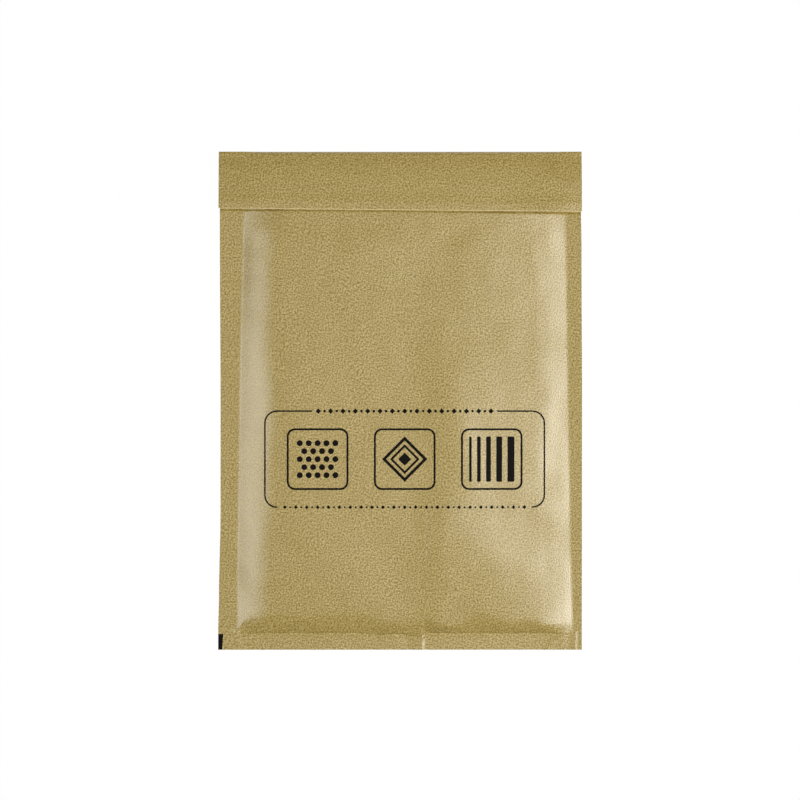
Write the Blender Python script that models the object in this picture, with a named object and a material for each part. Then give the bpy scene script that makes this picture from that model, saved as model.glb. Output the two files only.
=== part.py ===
"""Padded envelope, folded shut and lying on its back.

A kraft paper cover, made from one folded and glued sheet with a flap, holds a pouch of bubble film.
Under the flap lie the adhesive strip and the release strip that still covers it.
Units are metres. X runs across the envelope, +Y towards the flap's fold and +Z up, away from the table.
The origin is on the table under the middle of the envelope.
"""
import math

import bmesh
import bpy
from mathutils import Vector

# Kraft paper cover
WIDTH = 0.200
LENGTH = 0.275
PAPER = 0.00015
SEAM_HEIGHT = 0.0032
LEFT_SEAM_BOTTOM = 0.0099
LEFT_SEAM_MIDDLE = 0.0114
LEFT_SEAM_TOP = 0.0144
RIGHT_SEAM_BOTTOM = 0.0044
RIGHT_SEAM_MIDDLE = 0.0077
RIGHT_SEAM_TOP = 0.0091
BOTTOM_SEAM = 0.0088
SIDE_DRAW_IN = 0.0005
MOUTH_SETBACK = 0.0063

# Flap: the fold, its free edge and how far it presses the padding flat
FLAP_DEPTH_LEFT = 0.0315
FLAP_DEPTH_RIGHT = 0.0334
FOLD_RUN = 0.0030
FOLD_SEGMENT_COUNT = 6
FOLD_DROOP = 0.0008
FOLD_DROOP_RUN = 0.014
PRESS_DEPTH = 0.0013
PRESS_BELOW_FLAP = 0.014
PRESS_UNDER_FLAP = 0.010
FLAP_SIDE_DROP = 0.0012

# Rounded shoulders where the padding begins: the run to level, and the even slope beside the seam
FRONT_LEFT_RUN = 0.017
FRONT_LEFT_SLOPE = 0.011
FRONT_RIGHT_RUN = 0.021
FRONT_RIGHT_SLOPE = 0.006
FRONT_PRESSED_RUN = 0.034
FRONT_BOTTOM_RUN = 0.010
FRONT_BOTTOM_SLOPE = 0.002
BACK_RUN = 0.012
BACK_SLOPE = 0.003

# Bubble film pouch
FILM = 0.0033
POCKET = 0.0004
POCKET_RUN = 0.006
CLEARANCE = 0.0003
LINER_INSET = 0.0020
LINER_SEAL = 0.0035
LINER_SETBACK = 0.0022

# Self-seal strips under the flap, measured from its free edge
STRIP_CLEARANCE = 0.0002
ADHESIVE_THICKNESS = 0.0001
ADHESIVE_OFFSET = 0.008
ADHESIVE_WIDTH = 0.012
RELEASE_THICKNESS = 0.00008
RELEASE_OFFSET = 0.0045
RELEASE_WIDTH = 0.019
STRIP_END_MARGIN = 0.019

# Puckers where the padding gathers the bottom seam: centre x, half width in x and height
PUCKERS = (
    (-0.0880, 0.0050, 0.0006),
    (0.0105, 0.0035, 0.0007),
    (0.0890, 0.0055, -0.0006),
)

# The glued seams are a little wavy
WAVE_HEIGHT = 0.0004
WAVE_LENGTH = 0.095

# Soft swells and hollows of the front: centre x and y, half widths in x and y, height
SWELLS = (
    (0.034, -0.100, 0.038, 0.030, 0.0005),
    (0.010, 0.028, 0.016, 0.050, -0.0004),
    (-0.030, 0.070, 0.040, 0.030, 0.0003),
    (0.070, 0.010, 0.030, 0.060, 0.0003),
)

# Print: a ruled frame with three boxed pictures, and the press's register mark
FRAME_CENTRE = (0.0025, -0.0326)
FRAME_SIZE = (0.155, 0.053)
FRAME_LINE = 0.0007
PICTURE_SIZE = 0.034
PICTURE_PITCH = 0.048
MARK_SIZE = (0.0022, 0.0087)

# Mesh rows and columns in the long, nearly level stretches
MIDDLE_COLUMN_COUNT = 8
SHOULDER_COLUMN_COUNT = 3
BODY_ROW_COUNT = 17
PRESS_ROW_COUNT = 2
SEAM_ROW_COUNT = 2
STRIP_COLUMN_COUNT = 10

# Points nearer than this are one point, and folds blunter than this are shaded smooth
WELD = 1e-6
SMOOTH_UNDER_DEGREES = 40
INK_INDEX = 1

# Worked out from the sizes above
FOLD_LINE = LENGTH / 2
BOTTOM_EDGE = -LENGTH / 2
BOTTOM_SEAM_LINE = BOTTOM_EDGE + BOTTOM_SEAM
MOUTH = FOLD_LINE - MOUTH_SETBACK
FOLD_START = FOLD_LINE - FOLD_RUN
FLAP_DEPTH = (FLAP_DEPTH_LEFT + FLAP_DEPTH_RIGHT) / 2
FLAP_EDGE = FOLD_LINE - FLAP_DEPTH
LINER_END = MOUTH - LINER_SETBACK
STRIP_STACK = 3 * STRIP_CLEARANCE + ADHESIVE_THICKNESS + RELEASE_THICKNESS
PADDED_HEIGHT = 2 * (PAPER + CLEARANCE + FILM) + POCKET

# The four surfaces of a pouch, from the table up
BACK_OUTER, BACK_INNER, FRONT_INNER, FRONT_OUTER = range(4)


def clamp(value):
    """A value held between 0 and 1."""
    return min(max(value, 0.0), 1.0)


def ease(value):
    """A smooth step from 0 to 1."""
    t = clamp(value)
    return t * t * (3 - 2 * t)


def mix(start, end, share):
    """The value at a share of the way from start to end."""
    return start + (end - start) * share


def bend(bottom, middle, top, share):
    """A curve through three values, at a share of the way from bottom to top."""
    return (
        bottom * (1 - share) * (1 - 2 * share)
        + middle * 4 * share * (1 - share)
        + top * share * (2 * share - 1)
    )


def shoulder(distance, run, slope):
    """The share of the full height at a distance in from a seam: an even slope, then an easing curve."""
    if distance >= run:
        return 1.0
    if distance <= 0:
        return 0.0
    steepness = 2 / (run + slope)
    if distance <= slope:
        return steepness * distance
    return 1 - steepness * (run - distance) ** 2 / (2 * (run - slope))


def along(y):
    """The share of the way from the bottom seam to the mouth."""
    return (y - BOTTOM_SEAM_LINE) / (MOUTH - BOTTOM_SEAM_LINE)


def sheet_edge(y):
    """Half the width of the cover, drawn in below the flap by the padding."""
    return WIDTH / 2 - SIDE_DRAW_IN * ease((FOLD_LINE - y) / FLAP_DEPTH)


def left_seam(y):
    """X of the left seam's inner edge."""
    return -WIDTH / 2 + bend(LEFT_SEAM_BOTTOM, LEFT_SEAM_MIDDLE, LEFT_SEAM_TOP, clamp(along(y)))


def right_seam(y):
    """X of the right seam's inner edge."""
    return WIDTH / 2 - bend(RIGHT_SEAM_BOTTOM, RIGHT_SEAM_MIDDLE, RIGHT_SEAM_TOP, clamp(along(y)))


def pressed(y):
    """How far the flap presses the padding: 0 on the body, 1 well under the flap."""
    start = FLAP_EDGE - PRESS_BELOW_FLAP
    return ease((y - start) / (PRESS_BELOW_FLAP + PRESS_UNDER_FLAP))


def fold_droop(y):
    """How far the padding rounds down towards the fold."""
    return FOLD_DROOP * clamp((y - FOLD_START) / FOLD_DROOP_RUN + 1) ** 2


def level_height(y):
    """Height of the padded front away from the seams, before its swells."""
    return PADDED_HEIGHT - PRESS_DEPTH * pressed(y) - fold_droop(y)


def swell(x, y):
    """Soft swells and hollows of the front, which fade under the flap."""
    total = 0.0
    for centre_x, centre_y, half_x, half_y, height in SWELLS:
        away = ((x - centre_x) / half_x) ** 2 + ((y - centre_y) / half_y) ** 2
        total += height * math.exp(-away)
    return total * (1 - pressed(y))


def front_share(x, y):
    """The share of its full height that the front has, from the side and bottom shoulders."""
    press = pressed(y)
    left = shoulder(x - left_seam(y), mix(FRONT_LEFT_RUN, FRONT_PRESSED_RUN, press), FRONT_LEFT_SLOPE)
    right = shoulder(right_seam(y) - x, mix(FRONT_RIGHT_RUN, FRONT_PRESSED_RUN, press), FRONT_RIGHT_SLOPE)
    bottom = shoulder(y - BOTTOM_SEAM_LINE, FRONT_BOTTOM_RUN, FRONT_BOTTOM_SLOPE)
    return left * right * bottom


def seam_height(x, y):
    """Height of the glued plane between the plies, which puckers along the bottom and waves."""
    height = SEAM_HEIGHT + WAVE_HEIGHT * math.sin(2 * math.pi * y / WAVE_LENGTH + 2 * x / WIDTH)
    low = ease((BOTTOM_SEAM_LINE + FRONT_BOTTOM_RUN - y) / FRONT_BOTTOM_RUN)
    for centre, half, rise in PUCKERS:
        height += rise * low * math.exp(-(((x - centre) / half) ** 2))
    return height


def front_outer(x, y):
    """Height of the front's outer face."""
    seam = seam_height(x, y) + PAPER
    return seam + (level_height(y) + swell(x, y) - seam) * front_share(x, y)


def back_outer(x, y):
    """Height of the back's outer face, which lies flat on the table inside its shoulders."""
    left = shoulder(x - left_seam(y), BACK_RUN, BACK_SLOPE)
    right = shoulder(right_seam(y) - x, BACK_RUN, BACK_SLOPE)
    bottom = shoulder(y - BOTTOM_SEAM_LINE, BACK_RUN, BACK_SLOPE)
    return (seam_height(x, y) - PAPER) * (1 - left * right * bottom)


def flap_edge(x):
    """Y of the flap's free edge, which is not quite square to the sides."""
    return FOLD_LINE - mix(FLAP_DEPTH_LEFT, FLAP_DEPTH_RIGHT, x / WIDTH + 0.5)


def flap_gap(x, y):
    """Space between the front and the flap, which closes at the flap's free edge."""
    lift = ease((y - flap_edge(x)) / RELEASE_OFFSET)
    return mix(CLEARANCE, STRIP_STACK, lift)


def flap_inner(x, y):
    """Height of the flap's inner face, a nearly level sheet that bridges the side shoulders."""
    side = 1 - clamp((WIDTH / 2 - abs(x)) / (FRONT_PRESSED_RUN + RIGHT_SEAM_BOTTOM))
    return level_height(y) + swell(x, y) + flap_gap(x, y) - FLAP_SIDE_DROP * side**2


def spaced(start, end, count):
    """Evenly spaced values after start, up to and including end."""
    return [mix(start, end, step / count) for step in range(1, count + 1)]


def shoulder_steps(run):
    """Distances in from a side seam of the columns on its shoulder."""
    sealed = LINER_INSET + LINER_SEAL
    return [0.0, LINER_INSET, sealed, *spaced(sealed, run, SHOULDER_COLUMN_COUNT)]


def middle_span(y):
    """X where the left shoulder ends and where the right one starts."""
    return left_seam(y) + FRONT_LEFT_RUN, right_seam(y) - FRONT_RIGHT_RUN


def middle_shares():
    """Columns between the shoulders, as shares of the way across, with more of them at a pucker."""
    start, end = middle_span(BOTTOM_SEAM_LINE)
    shares = set(spaced(0.0, 1.0, MIDDLE_COLUMN_COUNT)[:-1])
    for centre, half, _ in PUCKERS:
        if start + half < centre < end - half:
            shares |= {(centre + side * half - start) / (end - start) for side in (-1, 0, 1)}
    return sorted(shares)


LEFT_STEPS = shoulder_steps(FRONT_LEFT_RUN)
RIGHT_STEPS = shoulder_steps(FRONT_RIGHT_RUN)
MIDDLE_SHARES = middle_shares()
PADDED_COLUMNS = len(LEFT_STEPS) + len(MIDDLE_SHARES) + len(RIGHT_STEPS) - 1
COVER_COLUMNS = PADDED_COLUMNS + 2


def padded_x(column, y):
    """X of a column of the padded area: along the left shoulder, the middle or the right shoulder."""
    if column < len(LEFT_STEPS):
        return left_seam(y) + LEFT_STEPS[column]
    if column > PADDED_COLUMNS - len(RIGHT_STEPS):
        return right_seam(y) - RIGHT_STEPS[PADDED_COLUMNS - column]
    start, end = middle_span(y)
    return mix(start, end, MIDDLE_SHARES[column - len(LEFT_STEPS)])


def cover_x(column, y):
    """X of a column of the cover, whose first and last are the sheet's side edges."""
    if column == 0:
        return -sheet_edge(y)
    if column == COVER_COLUMNS:
        return sheet_edge(y)
    return padded_x(column - 1, y)


def padded_rows():
    """Y of each row of the padding, from the bottom seam to the mouth."""
    bottom = [0.0, LINER_INSET, LINER_INSET + LINER_SEAL, BACK_RUN]
    rows = [BOTTOM_SEAM_LINE + step for step in bottom]
    rows += spaced(rows[-1], FLAP_EDGE - PRESS_BELOW_FLAP, BODY_ROW_COUNT)
    rows += spaced(rows[-1], FLAP_EDGE, PRESS_ROW_COUNT)
    rows += [FLAP_EDGE + step for step in flap_steps()]
    rows += [LINER_END]
    return sorted({row for row in rows if row <= LINER_END}) + [MOUTH]


def flap_steps():
    """Distances of the strips' edges from the flap's free edge."""
    release = (RELEASE_OFFSET, RELEASE_OFFSET + RELEASE_WIDTH)
    adhesive_steps = (ADHESIVE_OFFSET, ADHESIVE_OFFSET + ADHESIVE_WIDTH / 2, ADHESIVE_OFFSET + ADHESIVE_WIDTH)
    return sorted({*release, *adhesive_steps})


ROWS = padded_rows()


def section(bm, columns, plies, parted=None):
    """A cross-section of one or two plies; parted opens a gap between two plies, from column to column."""
    bmesh.ops.create_grid(bm, x_segments=columns, y_segments=plies, size=1)
    column_layer = bm.verts.layers.int.new("column")
    surface_layer = bm.verts.layers.int.new("surface")
    surfaces = (BACK_OUTER, BACK_INNER, FRONT_OUTER) if plies == 2 else (BACK_OUTER, FRONT_OUTER)
    for vert in bm.verts:
        vert[column_layer] = round((vert.co.x + 1) / 2 * columns)
        vert[surface_layer] = surfaces[round((vert.co.y + 1) / 2 * plies)]
    if parted is None:
        return
    first, last = parted
    between = [
        edge
        for edge in bm.edges
        if all(v[surface_layer] == BACK_INNER and first <= v[column_layer] <= last for v in edge.verts)
    ]
    bmesh.ops.split_edges(bm, edges=between)
    for face in bm.faces:
        if any(v[surface_layer] == FRONT_OUTER for v in face.verts):
            for vert in face.verts:
                if vert[surface_layer] == BACK_INNER and first < vert[column_layer] < last:
                    vert[surface_layer] = FRONT_INNER


def move(bm, verts, place, row):
    """Put each vertex of one row where its column and surface lie."""
    column_layer = bm.verts.layers.int["column"]
    surface_layer = bm.verts.layers.int["surface"]
    for vert in verts:
        vert.co = place(vert[column_layer], vert[surface_layer], row)


def extend(bm, faces, place, rows):
    """Extrude a set of faces once for each row and return the faces that end the last row."""
    for row in rows:
        edges = list({edge for face in faces for edge in face.edges})
        made = bmesh.ops.extrude_face_region(bm, geom=faces + edges)["geom"]
        verts = [item for item in made if isinstance(item, bmesh.types.BMVert)]
        faces = [item for item in made if isinstance(item, bmesh.types.BMFace)]
        move(bm, verts, place, row)
    return faces


def cover_point(column, surface, y):
    """A point of the cover's pouch."""
    x = cover_x(column, y)
    height = {
        BACK_OUTER: back_outer(x, y),
        BACK_INNER: back_outer(x, y) + PAPER,
        FRONT_INNER: front_outer(x, y) - PAPER,
        FRONT_OUTER: front_outer(x, y),
    }[surface]
    return Vector((x, y, height))


def flap_point(column, surface, step):
    """A point of the flap's sheet: step is an angle round the fold, or a y past it on the front."""
    x = cover_x(column, FOLD_LINE)
    ply = PAPER if surface == BACK_INNER else 0.0
    kind, value = step
    if kind == "front":
        y = mix(FOLD_START, flap_edge(x), value)
        return Vector((x, y, flap_inner(x, y) + PAPER - ply))
    low = back_outer(x, FOLD_START)
    high = flap_inner(x, FOLD_START) + PAPER
    y = FOLD_START + (FOLD_RUN - ply) * math.sin(value)
    z = (low + high) / 2 - ((high - low) / 2 - ply) * math.cos(value)
    return Vector((x, y, z))


def flap_path():
    """The flap's rows: up to the fold, round it, and down the front to the free edge."""
    path = [("fold", math.pi * step / FOLD_SEGMENT_COUNT) for step in range(FOLD_SEGMENT_COUNT + 1)]
    reach = FLAP_DEPTH - FOLD_RUN
    path += [("front", 1 - step / reach) for step in reversed(flap_steps())]
    path.append(("front", 1.0))
    return path


def liner_point(column, surface, y):
    """A point of the bubble film pouch, which fills the cover with a small clearance."""
    x = padded_x(column + 1, y)
    low = back_outer(x, y) + PAPER + CLEARANCE
    high = front_outer(x, y) - PAPER - CLEARANCE
    middle = (low + high) / 2
    inside = min(x - padded_x(2, y), padded_x(PADDED_COLUMNS - 2, y) - x, y - ROWS[2])
    half_gap = POCKET / 2 * clamp(inside / POCKET_RUN)
    height = {
        BACK_OUTER: low,
        BACK_INNER: middle - half_gap,
        FRONT_INNER: middle + half_gap,
        FRONT_OUTER: high,
    }[surface]
    return Vector((x, y, height))


def on_flap(x, step):
    """Y of a place on the flap, from its distance to the free edge."""
    return mix(flap_edge(x), FOLD_START, step / (FLAP_DEPTH - FOLD_RUN))


def strip_place(drop, thickness):
    """The rule that places a strip's points a set distance below the flap's inner face."""

    def place(column, surface, step):
        x = (WIDTH / 2 - STRIP_END_MARGIN) * (2 * column / STRIP_COLUMN_COUNT - 1)
        y = on_flap(x, step)
        depth = drop + thickness if surface == BACK_OUTER else drop
        return Vector((x, y, flap_inner(x, y) - depth))

    return place


def end_faces(bm, y, surfaces):
    """The faces that end the mesh at a y and lie between some of its surfaces."""
    surface_layer = bm.verts.layers.int["surface"]
    return [
        face
        for face in bm.faces
        if all(abs(v.co.y - y) < WELD and v[surface_layer] in surfaces for v in face.verts)
    ]


def pouch(bm, columns, parted, place, rows, closed_at):
    """Extrude a two-ply section from its mouth to the closed seam, weld the plies there and go on."""
    section(bm, columns, 2, parted)
    move(bm, bm.verts, place, rows[0])
    extend(bm, bm.faces[:], place, [row for row in rows[1:] if row >= closed_at])
    bmesh.ops.remove_doubles(bm, verts=bm.verts, dist=WELD)
    every_surface = (BACK_OUTER, BACK_INNER, FRONT_INNER, FRONT_OUTER)
    extend(bm, end_faces(bm, closed_at, every_surface), place, [row for row in rows if row < closed_at])


def ink_field(bm, left, right, low, high):
    """Cut the front along a rectangle's four sides and give the faces inside it the ink."""
    sides = (
        (Vector((left, 0, 0)), Vector((1, 0, 0))),
        (Vector((right, 0, 0)), Vector((1, 0, 0))),
        (Vector((0, low, 0)), Vector((0, 1, 0))),
        (Vector((0, high, 0)), Vector((0, 1, 0))),
    )
    for point, normal in sides:
        faces = [face for face in bm.faces if on_front(face) and reaches(face, left, right, low, high)]
        edges = list({edge for face in faces for edge in face.edges})
        verts = list({vert for face in faces for vert in face.verts})
        bmesh.ops.bisect_plane(bm, geom=verts + edges + faces, dist=WELD, plane_co=point, plane_no=normal)
    for face in bm.faces:
        centre = face.calc_center_median()
        if on_front(face) and left < centre.x < right and low < centre.y < high:
            face.material_index = INK_INDEX


def on_front(face):
    """Whether a face belongs to the front's outer side."""
    return all(v.co.z > front_outer(v.co.x, v.co.y) - PAPER / 2 for v in face.verts)


def reaches(face, left, right, low, high):
    """Whether a face reaches into a rectangle, seen from above."""
    xs = [vert.co.x for vert in face.verts]
    ys = [vert.co.y for vert in face.verts]
    return min(xs) < right and max(xs) > left and min(ys) < high and max(ys) > low


def ink_outline(bm, centre, size):
    """A ruled rectangle, as four ink fields."""
    left, right = centre[0] - size[0] / 2, centre[0] + size[0] / 2
    low, high = centre[1] - size[1] / 2, centre[1] + size[1] / 2
    ink_field(bm, left, left + FRAME_LINE, low, high)
    ink_field(bm, right - FRAME_LINE, right, low, high)
    ink_field(bm, left, right, low, low + FRAME_LINE)
    ink_field(bm, left, right, high - FRAME_LINE, high)


def finish_mesh(bm, name, materials):
    """Orient and smooth a bmesh, and make it an object with its materials."""
    bmesh.ops.recalc_face_normals(bm, faces=bm.faces)
    bmesh.ops.triangulate(bm, faces=bm.faces)
    mesh = bpy.data.meshes.new(name)
    bm.to_mesh(mesh)
    bm.free()
    for material in materials:
        mesh.materials.append(material)
    mesh.shade_smooth()
    mesh.set_sharp_from_angle(angle=math.radians(SMOOTH_UNDER_DEGREES))
    part = bpy.data.objects.new(name, mesh)
    bpy.context.collection.objects.link(part)


def make_material(name, colour, roughness):
    """A Principled material."""
    material = bpy.data.materials.new(name)
    material.use_nodes = True
    shader = material.node_tree.nodes["Principled BSDF"]
    shader.inputs["Base Color"].default_value = (*colour, 1.0)
    shader.inputs["Roughness"].default_value = roughness
    return material


def kraft_paper():
    """Brown kraft paper with a slight sheen."""
    return make_material("kraft_paper", (0.42, 0.33, 0.14), 0.6)


def black_ink():
    """Black flexographic ink on the kraft."""
    return make_material("black_ink", (0.012, 0.009, 0.006), 0.55)


def bubble_film():
    """Polythene bubble film, milky where its layers stack."""
    return make_material("bubble_film", (0.80, 0.83, 0.84), 0.25)


def adhesive():
    """Pale amber pressure-sensitive adhesive."""
    return make_material("adhesive", (0.70, 0.62, 0.38), 0.4)


def release_paper():
    """White silicone-coated paper."""
    return make_material("release_paper", (0.86, 0.86, 0.83), 0.45)


def build_cover():
    """The kraft cover: a pouch of two plies glued along three sides, with a flap from its back ply."""
    bm = bmesh.new()
    rows = [*reversed(ROWS), *spaced(BOTTOM_SEAM_LINE, BOTTOM_EDGE, SEAM_ROW_COUNT)]
    pouch(bm, COVER_COLUMNS, (1, COVER_COLUMNS - 1), cover_point, rows, BOTTOM_SEAM_LINE)
    extend(bm, end_faces(bm, MOUTH, (BACK_OUTER, BACK_INNER)), flap_point, flap_path())
    for picture in (-1, 0, 1):
        centre = (FRAME_CENTRE[0] + picture * PICTURE_PITCH, FRAME_CENTRE[1])
        ink_outline(bm, centre, (PICTURE_SIZE, PICTURE_SIZE))
    ink_outline(bm, FRAME_CENTRE, FRAME_SIZE)
    mark_right = MARK_SIZE[0] - WIDTH / 2
    ink_field(bm, -WIDTH / 2, mark_right, BOTTOM_EDGE - WELD, BOTTOM_EDGE + MARK_SIZE[1])
    finish_mesh(bm, "kraft_cover", (kraft_paper(), black_ink()))


def build_liner():
    """The bubble film pouch: two plies sealed along three sides, open at the mouth."""
    bm = bmesh.new()
    columns = PADDED_COLUMNS - 2
    rows = [row for row in reversed(ROWS) if ROWS[1] <= row <= LINER_END]
    pouch(bm, columns, (1, columns - 1), liner_point, rows, ROWS[2])
    finish_mesh(bm, "bubble_liner", (bubble_film(),))


def build_strip(name, offset, width, drop, thickness, material):
    """A flat strip under the flap, cut along the flap's own rows."""
    bm = bmesh.new()
    section(bm, STRIP_COLUMN_COUNT, 1)
    steps = [step for step in flap_steps() if offset <= step <= offset + width]
    place = strip_place(drop, thickness)
    move(bm, bm.verts, place, steps[0])
    extend(bm, bm.faces[:], place, steps[1:])
    finish_mesh(bm, name, (material,))


def main():
    """Clear the scene and build each piece."""
    for thing in list(bpy.data.objects):
        bpy.data.objects.remove(thing)
    build_cover()
    build_liner()
    drop = STRIP_CLEARANCE
    build_strip("adhesive_strip", ADHESIVE_OFFSET, ADHESIVE_WIDTH, drop, ADHESIVE_THICKNESS, adhesive())
    drop += ADHESIVE_THICKNESS + STRIP_CLEARANCE
    build_strip("release_strip", RELEASE_OFFSET, RELEASE_WIDTH, drop, RELEASE_THICKNESS, release_paper())


main()
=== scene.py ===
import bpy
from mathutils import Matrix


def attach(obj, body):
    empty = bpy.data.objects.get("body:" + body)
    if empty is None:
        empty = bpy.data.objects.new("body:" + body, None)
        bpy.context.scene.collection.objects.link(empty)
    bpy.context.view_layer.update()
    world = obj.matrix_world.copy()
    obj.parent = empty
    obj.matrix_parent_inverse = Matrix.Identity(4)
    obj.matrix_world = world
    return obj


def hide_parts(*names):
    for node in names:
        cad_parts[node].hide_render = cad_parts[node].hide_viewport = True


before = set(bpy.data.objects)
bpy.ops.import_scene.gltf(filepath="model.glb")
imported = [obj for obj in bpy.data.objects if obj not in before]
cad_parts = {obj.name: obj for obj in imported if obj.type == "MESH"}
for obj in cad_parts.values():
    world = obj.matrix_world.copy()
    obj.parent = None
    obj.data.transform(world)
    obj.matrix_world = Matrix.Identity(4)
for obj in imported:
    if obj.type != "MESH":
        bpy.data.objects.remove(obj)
"""A kraft paper padded envelope, folded shut and lying on its back on a pale floor.

The cover, the bubble film pouch inside it and the two self-seal strips are modelled here in full, over the
CAD model's own lines. Lengths are metres unless a name ends in _mm.
"""
import logging
import math
from collections.abc import Callable, Iterable, Sequence
from dataclasses import dataclass, field
from enum import Enum, auto
from functools import cached_property

import bmesh
import bpy
from mathutils import Matrix, Vector, noise

log = logging.getLogger("padded_envelope")

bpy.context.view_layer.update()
MM = 0.001
WELD = 1e-6
SMOOTH_UNDER_DEGREES = 50
LOZENGE_SIDES = 4

Pair = tuple[float, float]
Mesh = bmesh.types.BMesh
Faces = list[bmesh.types.BMFace]
Piece = bpy.types.Object
Material = bpy.types.Material
Socket = bpy.types.NodeSocket


# Small sums


def clamp(value: float) -> float:
    """A value held between 0 and 1."""
    return min(max(value, 0.0), 1.0)


def ease(value: float) -> float:
    """A smooth step from 0 to 1."""
    t = clamp(value)
    return t * t * (3 - 2 * t)


def mix(start: float, end: float, share: float) -> float:
    """The value at a share of the way from start to end."""
    return start + (end - start) * share


def bend(values: tuple[float, float, float], share: float) -> float:
    """A curve through three values."""
    bottom, middle, top = values
    lower = bottom * (1 - share) * (1 - 2 * share)
    return lower + middle * 4 * share * (1 - share) + top * share * (2 * share - 1)


def shoulder(distance: float, run: float, slope: float) -> float:
    """The share of the full height that the padding has near a seam."""
    if distance >= run:
        return 1.0
    if distance <= 0:
        return 0.0
    steepness = 2 / (run + slope)
    if distance <= slope:
        return steepness * distance
    return 1 - steepness * (run - distance) ** 2 / (2 * (run - slope))


def spaced(start: float, end: float, pitch: float) -> list[float]:
    """Even steps after start, up to and including end."""
    count = max(1, math.ceil(abs(end - start) / pitch - WELD))
    return [mix(start, end, step / count) for step in range(1, count + 1)]


def read_off(table: Sequence[Pair], value: float) -> float:
    """Read a value off a table of points, with a smooth curve between them."""
    if value <= table[0][0]:
        return table[0][1]
    for (low, start), (high, end) in zip(table, table[1:]):
        if value <= high:
            return mix(start, end, ease((value - low) / (high - low)))
    return table[-1][1]


def ramp(distance: float, half: float) -> float:
    """Zero before a bend and the distance past it, with a round bend between."""
    if distance <= -half:
        return 0.0
    if distance >= half:
        return distance
    return (distance + half) ** 2 / (4 * half)


def bell(distance: float, half_before: float, half_after: float) -> float:
    """A bell curve whose two flanks differ."""
    half = half_before if distance < 0 else half_after
    return math.exp(-((distance / half) ** 2))


# The envelope's form


@dataclass(frozen=True)
class Swell:
    """A soft rise or hollow of the padding, oval and turned."""

    x: float
    y: float
    half_long: float
    half_wide: float
    height: float
    turn: float = 0.0

    def rise(self, x: float, y: float) -> float:
        """Height that the swell adds at a point."""
        angle = math.radians(self.turn)
        across, up = x - self.x, y - self.y
        long = across * math.cos(angle) + up * math.sin(angle)
        wide = up * math.cos(angle) - across * math.sin(angle)
        return self.height * math.exp(-((long / self.half_long) ** 2 + (wide / self.half_wide) ** 2))


@dataclass(frozen=True)
class Crease:
    """A pucker of the glued seam: a ridge across it whose two flanks differ."""

    x_low: float
    x_high: float
    y_low: float
    y_high: float
    half_before: float
    half_after: float
    height: float

    def rise(self, x: float, y: float) -> float:
        """Height that the crease adds at a point."""
        share = (y - self.y_low) / (self.y_high - self.y_low)
        crest = mix(self.x_low, self.x_high, share)
        fade = ease(share * 4 + 1) * ease((1 - share) * 4 + 1)
        return self.height * fade * bell(x - crest, self.half_before, self.half_after)


@dataclass(frozen=True)
class Sag:
    """A place where the padding bulges down over the bottom seam."""

    x: float
    half_before: float
    half_after: float
    depth: float

    def drop(self, x: float) -> float:
        """How far the padding's foot moves down at an x."""
        return self.depth * bell(x - self.x, self.half_before, self.half_after)


SWELLS = (
    Swell(-0.020, 0.085, 0.025, 0.0138, 0.00111, 173),
    Swell(0.027, 0.087, 0.037, 0.0065, -0.00019, 97),
    Swell(-0.018, 0.084, 0.058, 0.0193, -0.00054, 149),
    Swell(0.011, 0.064, 0.017, 0.0074, -0.00018, 68),
    Swell(0.029, -0.013, 0.051, 0.0134, 0.00109, 98),
    Swell(-0.052, 0.001, 0.056, 0.0221, 0.00063, 86),
    Swell(-0.048, -0.079, 0.048, 0.0100, 0.00050, 127),
    Swell(-0.027, -0.089, 0.033, 0.0080, 0.00033, 114),
    Swell(0.022, -0.070, 0.021, 0.0089, 0.00115, 84),
    Swell(0.045, -0.078, 0.029, 0.0183, 0.00096, 25),
    Swell(0.059, -0.096, 0.013, 0.0070, 0.00038, 83),
    Swell(0.023, -0.110, 0.043, 0.0085, 0.00034, 75),
    Swell(0.060, -0.095, 0.016, 0.0083, -0.00059, 108),
    Swell(-0.034, -0.097, 0.008, 0.0116, -0.00042, 52),
    Swell(-0.070, -0.121, 0.061, 0.0157, -0.00095, 167),
    Swell(0.077, -0.046, 0.012, 0.0130, -0.00043, 151),
    Swell(0.091, -0.068, 0.018, 0.0097, 0.00011, 86),
    Swell(0.038, 0.096, 0.025, 0.0060, -0.00036, 33),
    Swell(-0.021, 0.056, 0.043, 0.0086, 0.00018, 94),
    Swell(0.057, 0.017, 0.042, 0.0238, 0.00095, 88),
    Swell(0.057, 0.049, 0.028, 0.0298, -0.00100, 71),
    Swell(0.080, -0.068, 0.017, 0.0249, 0.00129, 80),
    Swell(-0.018, -0.117, 0.019, 0.0067, -0.00027, 107),
    Swell(-0.039, -0.096, 0.052, 0.0067, 0.00021, 178),
    Swell(0.086, 0.092, 0.033, 0.0081, 0.00082, 98),
    Swell(0.089, 0.013, 0.019, 0.0112, 0.00082, 90),
    Swell(0.092, -0.069, 0.020, 0.0140, 0.00128, 62),
    Swell(0.081, -0.102, 0.028, 0.0120, -0.00097, 84),
    Swell(-0.084, -0.015, 0.040, 0.0131, -0.00116, 99),
    Swell(-0.062, -0.118, 0.025, 0.0080, 0.00060, 2),
)

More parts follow.
